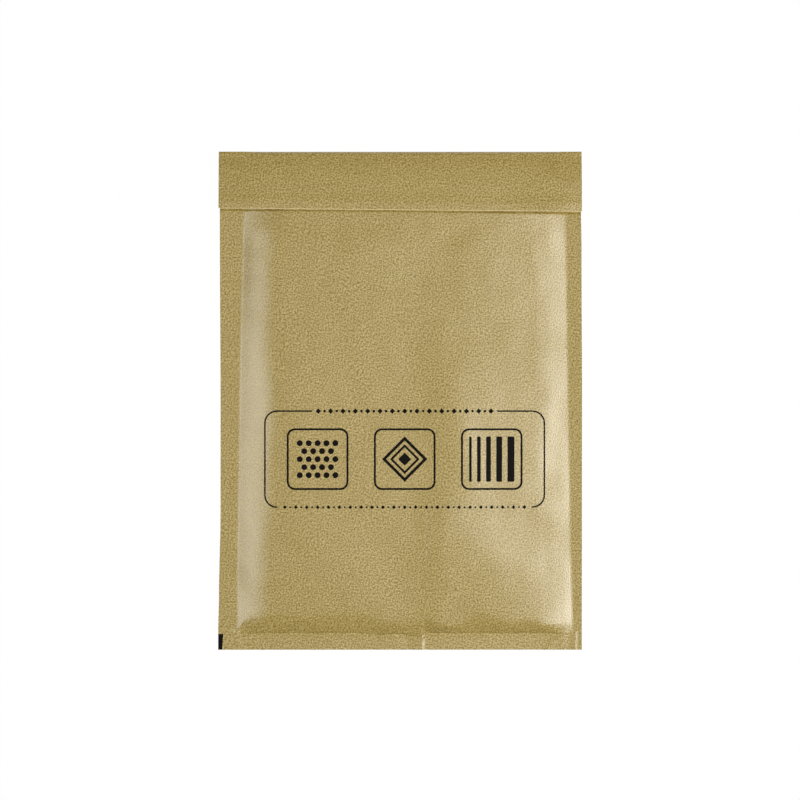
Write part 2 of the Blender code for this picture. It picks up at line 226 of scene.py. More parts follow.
CREASES = (
    Crease(-0.0886, -0.0904, -0.1345, -0.1268, 0.0012, 0.0008, 0.00030),
    Crease(-0.0906, -0.0862, -0.1278, -0.1215, 0.0010, 0.0010, 0.00045),
    Crease(0.0119, 0.0123, -0.1380, -0.1292, 0.0040, 0.0009, 0.00030),
    Crease(0.0060, 0.0020, -0.1380, -0.1290, 0.0030, 0.0030, -0.0002),
    Crease(0.0905, 0.0912, -0.1380, -0.1290, 0.0040, 0.0010, 0.00018),
    Crease(0.0966, 0.0968, -0.1380, -0.1285, 0.0050, 0.0008, 0.00026),
    Crease(0.0835, 0.0850, -0.1330, -0.1270, 0.0014, 0.0010, 0.00020),
    Crease(0.0790, 0.0872, -0.1385, -0.1295, 0.0009, 0.0060, 0.00032),
)

SAGS = (
    Sag(-0.0903, 0.0020, 0.0050, 0.0008),
    Sag(-0.0090, 0.0100, 0.0050, 0.0005),
    Sag(0.0118, 0.0085, 0.0010, 0.0025),
    Sag(-0.0040, 0.0170, 0.0060, 0.0007),
    Sag(0.0935, 0.0060, 0.0025, 0.0013),
)


# How far each side edge lies from the middle, by y
LEFT_EDGE = ((-0.1265, 0.1005), (-0.110, 0.1001), (-0.060, 0.0992), (0.0, 0.0992), (0.100, 0.0996))
RIGHT_EDGE = ((-0.110, 0.1003), (0.0, 0.1004), (0.088, 0.1001), (0.103, 0.0998))

# X where the padding begins to fall away to the right, by y
BROW = ((-0.112, 0.078), (-0.064, 0.038), (0.0, 0.034), (0.104, 0.040))


@dataclass(frozen=True)
class EnvelopeForm:
    """The heights of the folded cover's surfaces over the table, as the CAD model has them.

    Seam widths are given at the bottom, the middle and the top. Each noise is read in a slice of its own,
    which the last number of its place gives.
    """

    width: float = 0.200
    length: float = 0.275
    paper: float = 0.00015
    seam_height: float = 0.0032
    left_seam_widths: tuple[float, float, float] = (0.0099, 0.0114, 0.0144)
    right_seam_widths: tuple[float, float, float] = (0.0044, 0.0070, 0.0083)
    bottom_seam: float = 0.0088
    mouth_setback: float = 0.0063
    flap_depth_left: float = 0.0315
    flap_depth_right: float = 0.0334
    fold_run: float = 0.0030
    press_below_flap: float = 0.014
    press_under_flap: float = 0.010
    flap_side_drop: float = 0.0003
    flap_half_width: float = 0.1001
    fold_fall: float = 0.0022
    fold_fall_run: float = 0.005
    sink: float = 0.0040
    sink_run: float = 0.022
    foot_sink: float = 0.0019
    foot_sink_run: float = 0.022
    dent: float = 0.0014
    dent_reach: float = 0.004
    dent_half: float = 0.00045
    dent_middle: float = 0.6
    dent_left: Pair = (-0.066, 0.010)
    dent_right: Pair = (0.036, 0.012)
    seam_dent: float = 0.6
    lip: float = 0.0006
    lip_run: float = 0.011
    lip_middle: float = 0.6
    lip_low_x: float = -0.02
    lip_low_run: float = 0.07
    corner_lift: float = 0.0014
    corner_lift_start: float = 0.058
    corner_lift_run: float = 0.036
    corner_lift_depth: float = 0.020
    left_lift: float = 0.0005
    left_lift_x: float = -0.083
    left_lift_half: float = 0.012
    flap_wave: float = 0.00012
    flap_wave_size: Pair = (0.030, 0.024)
    brow_slope: float = 0.058
    brow_bend: float = 0.010
    brow_gain: float = 0.8
    brow_gain_y: float = -0.070
    brow_gain_run: float = 0.018
    brow_end: float = 0.084
    brow_end_bend: float = 0.006
    brow_press: float = 0.5
    crown_slope: float = 0.020
    crown_start: float = -0.064
    crown_start_bend: float = 0.010
    crown_end: float = 0.012
    crown_end_bend: float = 0.004
    left_run: float = 0.0215
    left_slope: float = 0.0035
    right_run: float = 0.019
    right_slope: float = 0.009
    pressed_run: float = 0.034
    bottom_run: float = 0.0090
    corner_run: float = 0.004
    corner_start: float = -0.058
    corner_fade: float = 0.030
    run_mean: float = 1.1
    run_vary: float = 0.9
    run_size: float = 0.020
    foot_nip: float = 0.0008
    nip_reach: float = 0.004
    nip_fade: float = 0.002
    nip_half: float = 0.0006
    foot_waver: float = 0.0006
    foot_waver_size: float = 0.009
    bottom_slope: float = 0.002
    back_run: float = 0.012
    back_slope: float = 0.003
    clearance: float = 0.0003
    flap_lift: float = 0.00078
    flap_lift_run: float = 0.0045
    level: float = 0.0091
    edge_curl: float = 0.072
    edge_curl_bend: float = 0.001
    flutter_height: float = 0.00022
    flutter_size: Pair = (0.030, 0.016)
    flutter_fade: float = 0.02
    wave_height: float = 0.0004
    wave_length: float = 0.095
    roll_height: float = 0.00045
    roll_size: float = 0.046
    ripple_height: float = 0.00016
    ripple_size: float = 0.013
    ripple_stretch: float = 0.8

    @cached_property
    def fold_line(self) -> float:
        """Y of the fold at the top."""
        return self.length / 2

    @cached_property
    def bottom_edge(self) -> float:
        """Y of the bottom edge."""
        return -self.length / 2

    @cached_property
    def seam_line(self) -> float:
        """Y of the bottom seam's inner edge."""
        return self.bottom_edge + self.bottom_seam

    @cached_property
    def mouth(self) -> float:
        """Y of the pouch's mouth, under the flap."""
        return self.fold_line - self.mouth_setback

    @cached_property
    def fold_start(self) -> float:
        """Y where the back sheet starts to turn over."""
        return self.fold_line - self.fold_run

    @cached_property
    def flap_depth(self) -> float:
        """Mean depth of the flap."""
        return (self.flap_depth_left + self.flap_depth_right) / 2

    @cached_property
    def flap_foot(self) -> float:
        """Mean y of the flap's free edge."""
        return self.fold_line - self.flap_depth

    def along(self, y: float) -> float:
        """The share of the way from the bottom seam to the mouth."""
        return clamp((y - self.seam_line) / (self.mouth - self.seam_line))

    def left_edge(self, y: float) -> float:
        """X of the cover's left edge, below the flap."""
        return -read_off(LEFT_EDGE, y)

    def right_edge(self, y: float) -> float:
        """X of the cover's right edge, below the flap."""
        return read_off(RIGHT_EDGE, y)

    def left_seam(self, y: float) -> float:
        """X of the left seam's inner edge."""
        return -self.width / 2 + bend(self.left_seam_widths, self.along(y))

    def right_seam(self, y: float) -> float:
        """X of the right seam's inner edge."""
        return self.width / 2 - bend(self.right_seam_widths, self.along(y))

    def pressed(self, y: float) -> float:
        """How far the flap presses the padding, from 0 on the body to 1 well under the flap."""
        start = self.flap_foot - self.press_below_flap
        return ease((y - start) / (self.press_below_flap + self.press_under_flap))

    def level_height(self, y: float) -> float:
        """Height of the padded front away from the seams, before its swells."""
        below = self.fold_line - y
        fall = self.fold_fall * math.exp(-below / self.fold_fall_run)
        fall += self.sink * math.exp(-below / self.sink_run)
        return self.level - fall - self.foot_sink * math.exp(-(y - self.seam_line) / self.foot_sink_run)

    def swell(self, x: float, y: float) -> float:
        """Soft swells, rolls and ripples of the padded front, which fade under the flap."""
        total = sum(swell.rise(x, y) for swell in SWELLS)
        roll = noise.noise(Vector((x, y, 0.3)) / self.roll_size)
        ripple = noise.noise(Vector((x, self.ripple_stretch * y, 0.7)) / self.ripple_size)
        total += self.roll_height * roll + self.ripple_height * ripple
        return total * (1 - self.pressed(y))

    def brow_fall(self, x: float, y: float) -> float:
        """How far the padding has fallen away to the right of its brow."""
        gain = math.exp(-(((y - self.brow_gain_y) / self.brow_gain_run) ** 2))
        slope = self.brow_slope * (1 + self.brow_gain * gain)
        past = x - read_off(BROW, y)
        fall = slope * (ramp(past, self.brow_bend) - ramp(x - self.brow_end, self.brow_end_bend))
        crown = ramp(x - self.crown_start, self.crown_start_bend)
        crown -= ramp(x - self.crown_end, self.crown_end_bend)
        fall += self.crown_slope * crown
        return fall * (1 - self.brow_press * self.pressed(y))

    def dent_fall(self, x: float, y: float) -> float:
        """How far the flap's free edge dents the front, most at both ends."""
        if abs(y - self.flap_foot) > self.dent_reach:
            return 0.0
        (left, left_fade), (right, right_fade) = self.dent_left, self.dent_right
        ends = ease((left - x) / left_fade) + ease((x - right) / right_fade)
        trace = (y - self.flap_edge(x) + self.dent_half / 2) / self.dent_half
        return self.dent * mix(self.dent_middle, 1.0, ends) * math.exp(-(trace**2))

    def nip(self, x: float, y: float) -> float:
        """How deep the glued bottom seam nips the front at the padding's foot."""
        if y > self.seam_line + self.nip_reach:
            return 0.0
        left = ease((x - self.left_seam(y)) / self.nip_fade)
        right = ease((self.right_seam(y) - x) / self.nip_fade)
        return self.foot_nip * (left * right) * bell(y - self.foot(x), self.nip_half, self.nip_half)

    def foot(self, x: float) -> float:
        """Y of the padding's foot at the bottom seam."""
        waver = self.foot_waver * noise.noise(Vector((x / self.foot_waver_size, 0.0, 0.0)))
        return self.seam_line - sum(sag.drop(x) for sag in SAGS) - waver

    def front_share(self, x: float, y: float) -> float:
        """The share of its full height that the front has.

        Args:
            x: Place across.
            y: Place along.

        Returns:
            A share from 0 at the seams to 1 on the level.
        """
        press = self.pressed(y)
        left_run = mix(self.left_run, self.pressed_run, press)
        right_run = mix(self.right_run, self.pressed_run, press)
        left = shoulder(x - self.left_seam(y), left_run, self.left_slope)
        right = shoulder(self.right_seam(y) - x, right_run, self.right_slope)
        vary = noise.noise(Vector((x / self.run_size, 0.4, 0.2)))
        run = self.bottom_run * (self.run_mean + self.run_vary * vary)
        run += self.corner_run * ease((self.corner_start - x) / self.corner_fade)
        return left * right * shoulder(y - self.foot(x), run, self.bottom_slope)

    def seam(self, x: float, y: float) -> float:
        """Height of the glued plane between the plies, which waves and puckers.

        Args:
            x: Place across.
            y: Place along.

        Returns:
            The height over the table.
        """
        wave = math.sin(2 * math.pi * y / self.wave_length + 2 * x / self.width)
        height = self.seam_height + self.wave_height * wave
        flutter = noise.noise(Vector((x / self.flutter_size[0], y / self.flutter_size[1], 0.9)))
        curl = self.edge_curl * ramp(x - self.right_seam(y), self.edge_curl_bend)
        height += curl - self.seam_dent * self.dent_fall(x, y)
        under_flap = ease((y - self.flap_foot) / self.flutter_fade + 1)
        height += self.flutter_height * flutter * (1 - under_flap)
        if y < self.seam_line + self.bottom_run:
            height += sum(crease.rise(x, y) for crease in CREASES)
        return height

    def front(self, x: float, y: float) -> float:
        """Height of the front's outer face."""
        seam = self.seam(x, y) + self.paper
        full = self.level_height(y) + self.swell(x, y) - self.brow_fall(x, y)
        full -= self.dent_fall(x, y)
        return seam + (full - seam) * self.front_share(x, y) - self.nip(x, y)

    def back(self, x: float, y: float) -> float:
        """Height of the back's outer face, flat on the table inside its shoulders."""
        left = shoulder(x - self.left_seam(y), self.back_run, self.back_slope)
        right = shoulder(self.right_seam(y) - x, self.back_run, self.back_slope)
        bottom = shoulder(y - self.seam_line, self.back_run, self.back_slope)
        return (self.seam(x, y) - self.paper) * (1 - left * right * bottom)

    def flap_edge(self, x: float) -> float:
        """Y of the flap's free edge, not quite square to the sides."""
        depth = mix(self.flap_depth_left, self.flap_depth_right, x / self.width + 0.5)
        return self.fold_line - depth

    def flap_inner(self, x: float, y: float) -> float:
        """Height of the flap's inner face.

        Args:
            x: Place across.
            y: Place along.

        Returns:
            The height over the table.
        """
        lift = ease((y - self.flap_edge(x)) / self.flap_lift_run)
        gap = mix(self.clearance, self.flap_lift, lift)
        side = 1 - clamp((self.width / 2 - abs(x)) / (self.pressed_run + self.right_seam_widths[0]))
        ends = mix(self.lip_middle, 1.0, ease(abs(x - self.lip_low_x) / self.lip_low_run))
        lip = self.lip * ease(1 - (y - self.flap_edge(x)) / self.lip_run) * ends
        ripple = noise.noise(Vector((x / self.flap_wave_size[0], y / self.flap_wave_size[1], 1.7)))
        wave = self.flap_wave * (1 + ripple)
        below = self.fold_line - y
        drop = self.flap_side_drop * side**2
        corner = ease((x - self.corner_lift_start) / self.corner_lift_run)
        drop -= self.corner_lift * corner * ease(below / self.corner_lift_depth)
        left = bell(x - self.left_lift_x, self.left_lift_half, self.left_lift_half)
        drop -= self.left_lift * left * ease(below / self.flap_depth)
        return self.level_height(y) + self.swell(x, y) + gap + lip + wave - drop


# Meshes extruded row by row from a cross-section


class Surface(Enum):
    """The four surfaces of a pouch, from the table up."""

    BACK_OUTER = 0
    BACK_INNER = 1
    FRONT_INNER = 2
    FRONT_OUTER = 3


Place = Callable[[int, Surface, float], Vector]


@dataclass
class SectionMesh:
    """A mesh that is extruded row by row from a cross-section of paper or film plies."""

    columns: int
    bm: Mesh = field(default_factory=bmesh.new)

    def start(self, plies: int, parted: tuple[int, int] | None = None) -> None:
        """Make the cross-section.

        Args:
            plies: One or two plies.
            parted: The columns between which two plies lie apart.
        """
        bm = self.bm
        bmesh.ops.create_grid(bm, x_segments=self.columns, y_segments=plies, size=1)
        column_layer = bm.verts.layers.int.new("column")
        surface_layer = bm.verts.layers.int.new("surface")
        plain = [Surface.BACK_OUTER.value, Surface.FRONT_OUTER.value]
        heights = [plain[0], Surface.BACK_INNER.value, plain[1]] if plies == 2 else plain
        for vert in bm.verts:
            vert[column_layer] = round((vert.co.x + 1) / 2 * self.columns)
            vert[surface_layer] = heights[round((vert.co.y + 1) / 2 * plies)]
        if parted:
            self._part(*parted)

    def _part(self, first: int, last: int) -> None:
        """Open a gap between the two plies, from one column to another."""
        bm = self.bm
        column_layer = bm.verts.layers.int["column"]
        surface_layer = bm.verts.layers.int["surface"]
        back, inner = Surface.BACK_INNER.value, Surface.FRONT_INNER.value
        outer = Surface.FRONT_OUTER.value
        between = [
            edge
            for edge in bm.edges
            if all(v[surface_layer] == back and first <= v[column_layer] <= last for v in edge.verts)
        ]
        bmesh.ops.split_edges(bm, edges=between)
        for face in bm.faces:
            if any(v[surface_layer] == outer for v in face.verts):
                for vert in face.verts:
                    if vert[surface_layer] == back and first < vert[column_layer] < last:
                        vert[surface_layer] = inner

    def move(self, verts: Iterable[bmesh.types.BMVert], place: Place, row: float) -> None:
        """Put the vertices of one row where their column and surface lie."""
        column_layer = self.bm.verts.layers.int["column"]
        surface_layer = self.bm.verts.layers.int["surface"]
        for vert in verts:
            vert.co = place(vert[column_layer], Surface(vert[surface_layer]), row)

    def extend(self, faces: Faces, place: Place, rows: Iterable[float]) -> Faces:
        """Extrude some faces once for each row."""
        for row in rows:
            edges = list(dict.fromkeys(edge for face in faces for edge in face.edges))
            made = bmesh.ops.extrude_face_region(self.bm, geom=faces + edges)["geom"]
            faces = [item for item in made if isinstance(item, bmesh.types.BMFace)]
            self.move((item for item in made if isinstance(item, bmesh.types.BMVert)), place, row)
        return faces

    def end_faces(self, y: float, surfaces: Sequence[Surface]) -> Faces:
        """The faces that end the mesh at a y and lie between some of its surfaces."""
        surface_layer = self.bm.verts.layers.int["surface"]
        wanted = {surface.value for surface in surfaces}
        return [
            face
            for face in self.bm.faces
            if all(abs(v.co.y - y) < WELD and v[surface_layer] in wanted for v in face.verts)
        ]

    def pouch(self, parted: tuple[int, int], place: Place, rows: Sequence[float], closed_at: float) -> None:
        """Extrude a two-ply pouch from its mouth to its closed end."""
        self.start(2, parted)
        self.move(self.bm.verts, place, rows[0])
        self.extend(self.bm.faces[:], place, [row for row in rows[1:] if row >= closed_at])
        bmesh.ops.remove_doubles(self.bm, verts=self.bm.verts, dist=WELD)
        ends = self.end_faces(closed_at, list(Surface))
        self.extend(ends, place, [row for row in rows if row < closed_at])


def order_faces(bm: Mesh) -> None:
    """Sort the faces by their vertices, as extruding makes them in another order at each run."""
    bm.verts.index_update()
    faces = sorted(bm.faces, key=lambda face: sorted(vert.index for vert in face.verts))
    for index, face in enumerate(faces):
        face.index = index
    bm.faces.sort()


def add_piece(name: str, bm: Mesh, materials: Sequence[Material]) -> Piece:
    """Make a finished object of a bmesh.

    Args:
        name: The piece's name.
        bm: Its mesh, which is freed.
        materials: Its materials, in slot order.

    Returns:
        The object, at the origin.
    """
    order_faces(bm)
    bmesh.ops.recalc_face_normals(bm, faces=bm.faces)
    mesh = bpy.data.meshes.new(name)
    bm.to_mesh(mesh)
    bm.free()
    for material in materials:
        mesh.materials.append(material)
    mesh.shade_smooth()
    mesh.set_sharp_from_angle(angle=math.radians(SMOOTH_UNDER_DEGREES))
    piece = bpy.data.objects.new(name, mesh)
    bpy.context.scene.collection.objects.link(piece)
    return piece


# Finishes


def linear(colour: str) -> tuple[float, float, float, float]:
    """A hex sRGB colour as linear RGBA."""
    channels = [int(colour[i : i + 2], 16) / 255 for i in (1, 3, 5)]
    red, green, blue = (c / 12.92 if c <= 0.04045 else ((c + 0.055) / 1.055) ** 2.4 for c in channels)
    return red, green, blue, 1.0


def add_node(material: Material, kind: str, **settings: object) -> bpy.types.Node:
    """Add a node and set it up.

    Args:
        material: The material to add it to.
        kind: The node's type.
        settings: Properties by name, and sockets as a dict of values or sockets under inputs.

    Returns:
        The new node.
    """
    tree = material.node_tree
    node = tree.nodes.new(kind)
    inputs = settings.pop("inputs", {})
    for key, value in settings.items():
        setattr(node, key, value)
    for key, value in inputs.items():
        if isinstance(value, Socket):
            tree.links.new(value, node.inputs[key])
        else:
            node.inputs[key].default_value = value
    return node


def new_material(name: str) -> tuple[Material, bpy.types.Node, Socket]:
    """Start a material."""
    material = bpy.data.materials.new(name)
    material.use_nodes = True
    shader = material.node_tree.nodes["Principled BSDF"]
    place = add_node(material, "ShaderNodeTexCoord").outputs["Object"]
    return material, shader, place


def grain(material: Material, place: Socket, size_mm: float, **inputs: float) -> Socket:
    """A noise pattern of a size in mm."""
    sockets = {"Vector": place, "Scale": 1000 / size_mm, **inputs}
    return add_node(material, "ShaderNodeTexNoise", inputs=sockets).outputs["Fac"]


def spread(material: Material, value: Socket, span: tuple[float, float, float, float]) -> Socket:
    """Stretch a value from one range to another."""
    low, high, to_low, to_high = span
    inputs = {"Value": value, "From Min": low, "From Max": high, "To Min": to_low, "To Max": to_high}
    return add_node(material, "ShaderNodeMapRange", inputs=inputs).outputs["Result"]


def tint(material: Material, share: Socket, start: object, end: object) -> Socket:
    """Mix two colours.

    Args:
        material: The material to add to.
        share: The share of the second colour.
        start: The first colour, as hex or a socket.
        end: The second colour, as hex or a socket.

    Returns:
        The mixed colour.
    """
    node = add_node(material, "ShaderNodeMix", data_type="RGBA")
    tree = material.node_tree
    tree.links.new(share, node.inputs["Factor"])
    for socket, colour in ((node.inputs[6], start), (node.inputs[7], end)):
        if isinstance(colour, str):
            socket.default_value = linear(colour)
        else:
            tree.links.new(colour, socket)
    return node.outputs[2]


def maths(material: Material, operation: str, first: object, second: object) -> Socket:
    """One sum of two values or sockets."""
    node = add_node(material, "ShaderNodeMath", operation=operation, inputs={0: first, 1: second})
    return node.outputs[0]


@dataclass(frozen=True)
class KraftPaper:
    """Unbleached kraft paper, machine glazed: a soft white sheen over mottled brown fibre."""

    name: str = "unbleached_kraft_paper"
    dark_fibre: str = "#8D762B"
    pale_fibre: str = "#C7B16E"
    cloud: str = "#9A8339"
    speck: str = "#4E3C1C"
    roughness: float = 0.38
    specular: float = 1.0
    ior: float = 1.6
    fibre_mm: float = 0.8
    strand_mm: float = 0.98
    shift_mm: float = 0.64
    shift_aside: float = 0.6
    cloud_mm: float = 9.0
    speck_cell_mm: float = 11.0
    fibre_relief_mm: float = 0.022
    fibre_contrast: float = 0.43
    fibre_distortion: float = 0.35
    gloss_change: float = 0.05
    cloud_span: tuple[float, float, float, float] = (0.35, 0.75, 0.0, 0.3)
    speck_edge: Pair = (0.025, 0.06)
    speck_luck: tuple[float, float, float, float] = (0.72, 0.76, 0.0, 0.7)

    def material(self) -> Material:
        """The paper's material."""
        material, shader, place = new_material(self.name)
        far, near = self.shift_mm, self.shift_aside * self.shift_mm
        along = self.strands(material, place, self.fibre_mm, (far, near, 0.0))
        across = self.strands(material, place, self.strand_mm, (-near, far, 0.0))
        total = maths(material, "ADD", along, across)
        both = spread(material, total, (-self.fibre_contrast, self.fibre_contrast, 0.0, 1.0))
        fibres = tint(material, both, self.dark_fibre, self.pale_fibre)
        clouds = grain(material, place, self.cloud_mm, Detail=2.0, Roughness=0.6)
        cloudy = tint(material, spread(material, clouds, self.cloud_span), fibres, self.cloud)
        colour = tint(material, self.specks(material, place), cloudy, self.speck)
        links = material.node_tree.links
        links.new(colour, shader.inputs["Base Color"])
        smooth, rough = self.roughness - self.gloss_change, self.roughness + self.gloss_change
        links.new(spread(material, both, (0.0, 1.0, smooth, rough)), shader.inputs["Roughness"])
        shader.inputs["Specular IOR Level"].default_value = self.specular
        shader.inputs["IOR"].default_value = self.ior
        bump = {"Height": both, "Distance": self.fibre_relief_mm * MM, "Strength": 1.0}
        relief = add_node(material, "ShaderNodeBump", inputs=bump)
        links.new(relief.outputs["Normal"], shader.inputs["Normal"])
        return material

    def strands(
        self, material: Material, place: Socket, size_mm: float, shift_mm: Sequence[float]
    ) -> Socket:
        """Short fibres of one width: a noise less the same noise a little to the side."""
        shift = [part * MM for part in shift_mm]
        aside = add_node(material, "ShaderNodeVectorMath", operation="ADD", inputs={0: place, 1: shift})
        inputs = {"Detail": 0.0, "Distortion": self.fibre_distortion}
        near = grain(material, place, size_mm, **inputs)
        far = grain(material, aside.outputs["Vector"], size_mm, **inputs)
        return maths(material, "SUBTRACT", near, far)

    def specks(self, material: Material, place: Socket) -> Socket:
        """Scattered dark bark specks, in a few of the cells."""
        inputs = {"Vector": place, "Scale": 1000 / self.speck_cell_mm}
        cells = add_node(material, "ShaderNodeTexVoronoi", inputs=inputs)
        dot = spread(material, cells.outputs["Distance"], (*self.speck_edge, 1.0, 0.0))
        luck = add_node(material, "ShaderNodeSeparateColor", inputs={"Color": cells.outputs["Color"]})
        chosen = spread(material, luck.outputs[0], self.speck_luck)
        return maths(material, "MULTIPLY", dot, chosen)


@dataclass(frozen=True)
class PlainFinish:
    """A finish of one even colour."""

    name: str
    colour: str
    roughness: float
    transmission: float = 0.0
    ior: float = 1.5

    def material(self) -> Material:
        """The finish's material."""
        material, shader, _ = new_material(self.name)
        shader.inputs["Base Color"].default_value = linear(self.colour)
        shader.inputs["Roughness"].default_value = self.roughness
        shader.inputs["Transmission Weight"].default_value = self.transmission
        shader.inputs["IOR"].default_value = self.ior
        return material


@dataclass(frozen=True)
class MottledFinish:
    """A finish that changes from one colour to another in soft patches."""

    name: str
    first: str
    second: str
    roughness: float
    patch_mm: float
    patch_span: Pair = (0.35, 0.65)
    patch_detail: float = 2.0
    patch_roughness: float = 0.5
    specular: float = 0.5

    def material(self) -> Material:
        """The finish's material."""
        material, shader, place = new_material(self.name)
        inputs = {"Detail": self.patch_detail, "Roughness": self.patch_roughness}
        patches = grain(material, place, self.patch_mm, **inputs)
        share = spread(material, patches, (*self.patch_span, 0.0, 1.0))
        colour = tint(material, share, self.first, self.second)
        material.node_tree.links.new(colour, shader.inputs["Base Color"])
        shader.inputs["Roughness"].default_value = self.roughness
        shader.inputs["Specular IOR Level"].default_value = self.specular
        return material


# Kraft fibre at the flap's cut edge, made pale cream: the colour is a painted highlight where the edge
# catches the light
CUT_EDGE_PAINTED_HIGHLIGHT = PlainFinish("cut_edge_painted_highlight", "#DACB9E", 0.8)

# Clear polythene film, milky and glossy
BUBBLE_FILM = PlainFinish("polythene_bubble_film", "#E6EBEC", 0.22, transmission=0.6)

# Black flexographic ink, a little brown where the paper shows through
BLACK_INK = MottledFinish(
    "flexographic_black_ink", "#050302", "#120C06", 0.7, 0.7, (0.5, 0.85), patch_roughness=0.7, specular=0.15
)

# Rubber-based adhesive, slightly streaked
AMBER_ADHESIVE = MottledFinish("pressure_sensitive_adhesive", "#E2D3A0", "#CDB878", 0.32, 6.0)

# White glassine with a silicone gloss
RELEASE_PAPER = MottledFinish("silicone_release_paper", "#F1F0EA", "#E4E2DA", 0.38, 2.5, patch_detail=3.0)


@dataclass(frozen=True)
class WhiteFloor:
    """White studio paper, seen by the camera as nearly pure white."""

    name: str = "white_studio_paper"
    colour: str = "#FCFCFC"
    lift: float = 0.99

    def material(self) -> Material:
        """The floor's material, which keeps part of the object's shadow."""
        material, shader, _ = new_material(self.name)
        shader.inputs["Base Color"].default_value = linear(self.colour)
        shader.inputs["Roughness"].default_value = 1.0
        shader.inputs["Specular IOR Level"].default_value = 0.0
        tree = material.node_tree
        rays = add_node(material, "ShaderNodeLightPath")
        seen = maths(material, "MAXIMUM", rays.outputs["Is Camera Ray"], rays.outputs["Is Glossy Ray"])
        seen = maths(material, "MAXIMUM", seen, rays.outputs["Is Transmission Ray"])
        share = maths(material, "MULTIPLY", seen, self.lift)
        white = add_node(material, "ShaderNodeEmission", inputs={"Color": (1, 1, 1, 1), "Strength": 1.0})
        both = add_node(material, "ShaderNodeMixShader")
        tree.links.new(share, both.inputs[0])
        tree.links.new(shader.outputs[0], both.inputs[1])
        tree.links.new(white.outputs[0], both.inputs[2])
        tree.links.new(both.outputs[0], tree.nodes["Material Output"].inputs["Surface"])
        return material


# Pieces


class Zone(Enum):
    """The stretches that the columns lie in, from left to right."""

    LEFT_STRIP = auto()
    LEFT_SHOULDER = auto()
    MIDDLE = auto()
    RIGHT_SHOULDER = auto()
    RIGHT_STRIP = auto()


@dataclass
class CoverGrid:
    """The columns and rows that the cover and its print lie on."""

    form: EnvelopeForm
    strip_columns: int = 9
    shoulder_pitch: float = 0.0011
    middle_pitch: float = 0.0026
    pucker_x: float = 0.0105
    pucker_half: float = 0.0075
    pucker_pitch: float = 0.0008
    bottom_pitch: float = 0.0007
    bottom_run: float = 0.016
    row_pitch: float = 0.0026
    edge_pitch: float = 0.0013
    dent_pitch: float = 0.00028
    dent_reach: float = 0.0021

    def middle_span(self, y: float) -> Pair:
        """X where the left shoulder ends and where the right one starts."""
        form = self.form
        return form.left_seam(y) + form.left_run, form.right_seam(y) - form.right_run

    @cached_property
    def columns(self) -> list[tuple[Zone, float]]:
        """Every column's stretch, and its share or distance there."""
        form = self.form
        shares = [step / self.strip_columns for step in range(self.strip_columns)]
        columns = [(Zone.LEFT_STRIP, share) for share in shares]
        steps = [0.0, *spaced(0.0, form.left_run, self.shoulder_pitch)]
        columns += [(Zone.LEFT_SHOULDER, step) for step in steps]
        start, end = self.middle_span(form.seam_line)
        low, high = self.pucker_x - self.pucker_half, self.pucker_x + self.pucker_half
        middle = spaced(start, low, self.middle_pitch) + spaced(low, high, self.pucker_pitch)
        middle += spaced(high, end, self.middle_pitch)[:-1]
        columns += [(Zone.MIDDLE, (x - start) / (end - start)) for x in middle]
        steps = [0.0, *spaced(0.0, form.right_run, self.shoulder_pitch)]
        columns += [(Zone.RIGHT_SHOULDER, step) for step in reversed(steps)]
        return columns + [(Zone.RIGHT_STRIP, share) for share in spaced(0.0, 1.0, 1 / self.strip_columns)]

    @property
    def last(self) -> int:
        """Number of the last column."""
        return len(self.columns) - 1

    @cached_property
    def parted(self) -> tuple[int, int]:
        """The columns of the two seams' inner edges."""
        return self.strip_columns, self.last - self.strip_columns

    def x(self, column: int, y: float) -> float:
        """X of a column at a y.

        Args:
            column: The column's number.
            y: Place along the envelope.

        Returns:
            Its x there.
        """
        zone, value = self.columns[column]
        form = self.form
        match zone:
            case Zone.LEFT_STRIP:
                return mix(form.left_edge(y), form.left_seam(y), value)
            case Zone.LEFT_SHOULDER:
                return form.left_seam(y) + value
            case Zone.MIDDLE:
                return mix(*self.middle_span(y), value)
            case Zone.RIGHT_SHOULDER:
                return form.right_seam(y) - value
        return mix(form.right_seam(y), form.right_edge(y), value)

    def flap_x(self, column: int, y: float) -> float:
        """X of a column of the flap, whose sides are straight."""
        half = self.form.flap_half_width
        first, last = self.parted
        if column < first:
            return mix(-half, self.x(first, y), self.columns[column][1])
        if column > last:
            return mix(self.x(last, y), half, self.columns[column][1])
        return self.x(column, y)

    @cached_property
    def rows(self) -> list[float]:
        """Y of each row of the pouch, from the mouth down to the bottom edge."""
        form = self.form
        foot, bottom = form.flap_foot, form.seam_line + self.bottom_run
        rows = [form.mouth, *spaced(form.mouth, foot + self.dent_reach, 2 * self.row_pitch)]
        rows += spaced(rows[-1], foot - self.dent_reach, self.dent_pitch)
        rows += spaced(rows[-1], foot - form.press_below_flap, self.edge_pitch)
        rows += spaced(rows[-1], bottom, self.row_pitch)
        rows += spaced(bottom, form.seam_line, self.bottom_pitch)
        return rows + spaced(form.seam_line, form.bottom_edge, self.bottom_pitch)


